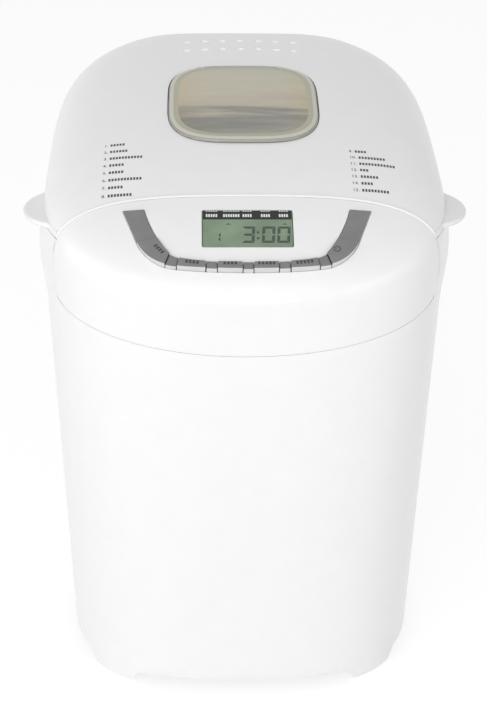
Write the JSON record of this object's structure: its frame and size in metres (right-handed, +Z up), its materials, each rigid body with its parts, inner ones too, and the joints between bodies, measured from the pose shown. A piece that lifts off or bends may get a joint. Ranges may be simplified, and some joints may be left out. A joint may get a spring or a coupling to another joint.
{
  "type": "bread machine",
  "caption": "Upright white bread machine with a hinged domed lid and window, an oval key panel with a display, side lifting ears, a removable pan and a belt-driven paddle.",
  "frame": {"origin": "on the floor under the middle of the body", "axes": "+Z up, the control panel faces -Y, +X to the right of someone facing it"},
  "size_m": [0.2564, 0.2826, 0.3365],
  "materials": {
    "white_plastic": "smooth glossy white",
    "inner_plastic": "satin off-white",
    "dark_plastic": "fine grain black",
    "grey_plastic": "satin mid grey",
    "key_grey": "satin dark grey",
    "display_glass": "clear cover over a grey-green display",
    "window_glass": "clear, slightly warm",
    "rubber": "matt",
    "sheet_steel": "bright pressed sheet",
    "bright_steel": "drawn wire and ground rod",
    "cast_aluminium": "as cast",
    "pan_coating": "dark non-stick coating",
    "heater_sheath": "heat-darkened sheath",
    "ceramic": "unglazed",
    "bronze": "sintered",
    "copper": "enamelled copper wire",
    "circuit_board": "solder mask with parts"
  },
  "bodies": {
    "machine": {"outer_housing": "white_plastic", "deck_ring": "white_plastic", "control_fascia": "white_plastic", "base_plate": "dark_plastic", "run_capacitor": "dark_plastic", "cord_gland": "dark_plastic", "display_module": "dark_plastic", "key_bezel": "grey_plastic", "display_lens": "display_glass", "foot_pad_front_left": "rubber", "foot_pad_front_right": "rubber", "foot_pad_rear_left": "rubber", "foot_pad_rear_right": "rubber", "drive_belt": "rubber", "oven_chamber": "sheet_steel", "chassis_plate": "sheet_steel", "board_bracket": "sheet_steel", "heater_clip_left": "sheet_steel", "heater_clip_right": "sheet_steel", "motor_stator": "sheet_steel", "hinge_pin_left": "bright_steel", "hinge_pin_right": "bright_steel", "temperature_sensor": "bright_steel", "pan_seat": "cast_aluminium", "motor_cap_lower": "cast_aluminium", "motor_cap_upper": "cast_aluminium", "bearing_housing": "cast_aluminium", "heater_tube": "heater_sheath", "heater_bush_1": "ceramic", "heater_bush_2": "ceramic", "drive_bush": "bronze", "motor_winding_lower": "copper", "motor_winding_upper": "copper", "control_board": "circuit_board", "power_board": "circuit_board"},
    "lid": {"lid_shell": "white_plastic", "lid_base": "inner_plastic", "lid_liner": "sheet_steel", "lid_gasket": "rubber", "window_pane": "window_glass", "window_collar": "inner_plastic", "inner_pane": "window_glass"},
    "key_menu_body": {"key_menu": "key_grey"},
    "key_time_body": {"key_time": "key_grey"},
    "key_loaf_body": {"key_loaf": "key_grey"},
    "key_color_body": {"key_color": "key_grey"},
    "key_cycle_body": {"key_cycle": "key_grey"},
    "key_on_off_body": {"key_on_off": "key_grey"},
    "pan": {"bread_pan": "pan_coating"},
    "bail": {"pan_bail": "bright_steel"},
    "paddle": {"pan_shaft": "bright_steel", "pan_dog": "cast_aluminium", "kneading_paddle": "pan_coating"},
    "drive": {"drive_shaft": "bright_steel", "drive_dog": "cast_aluminium", "drive_wheel": "cast_aluminium"},
    "motor_rotor": {"motor_shaft": "bright_steel", "motor_pinion": "cast_aluminium", "motor_fan": "dark_plastic"}
  },
  "joints": [
    {"name": "lid_hinge", "type": "hinge", "parent": "machine", "child": "lid", "pos_m": [0, 0.136, 0.2895], "axis": [-1, 0, 0], "range_deg": [0, 82]},
    {"name": "key_menu_press", "type": "slide", "parent": "machine", "child": "key_menu_body", "axis": [0, 0.4295, -0.9031], "range_m": [0, 0.001], "stiffness_N_per_m": 1500},
    {"name": "key_time_press", "type": "slide", "parent": "machine", "child": "key_time_body", "axis": [0, 0.4295, -0.9031], "range_m": [0, 0.001], "stiffness_N_per_m": 1500},
    {"name": "key_loaf_press", "type": "slide", "parent": "machine", "child": "key_loaf_body", "axis": [0, 0.4295, -0.9031], "range_m": [0, 0.001], "stiffness_N_per_m": 1500},
    {"name": "key_color_press", "type": "slide", "parent": "machine", "child": "key_color_body", "axis": [0, 0.4295, -0.9031], "range_m": [0, 0.001], "stiffness_N_per_m": 1500},
    {"name": "key_cycle_press", "type": "slide", "parent": "machine", "child": "key_cycle_body", "axis": [0, 0.4295, -0.9031], "range_m": [0, 0.001], "stiffness_N_per_m": 1500},
    {"name": "key_on_off_press", "type": "slide", "parent": "machine", "child": "key_on_off_body", "axis": [0, 0.4295, -0.9031], "range_m": [0, 0.001], "stiffness_N_per_m": 1500},
    {"name": "pan_twist", "type": "hinge", "parent": "machine", "child": "pan", "pos_m": [0, 0.025, 0.08], "axis": [0, 0, 1], "range_deg": [0, 14]},
    {"name": "bail_swing", "type": "hinge", "parent": "pan", "child": "bail", "pos_m": [0, 0.025, 0.229], "axis": [1, 0, 0], "range_deg": [0, 159]},
    {"name": "drive_spin", "type": "hinge", "parent": "machine", "child": "drive", "pos_m": [0, 0.025, 0.045], "axis": [0, 0, 1], "continuous": true, "deforming": ["drive_belt"]},
    {"name": "paddle_spin", "type": "hinge", "parent": "pan", "child": "paddle", "pos_m": [0, 0.025, 0.095], "axis": [0, 0, 1], "continuous": true},
    {"name": "motor_spin", "type": "hinge", "parent": "machine", "child": "motor_rotor", "pos_m": [0, -0.10025, 0.08], "axis": [0, 0, 1], "continuous": true}
  ],
  "couplings": [
    {"joint": "paddle_spin", "follows": "drive_spin", "ratio": 1},
    {"joint": "motor_spin", "follows": "drive_spin", "ratio": 4}
  ]
}
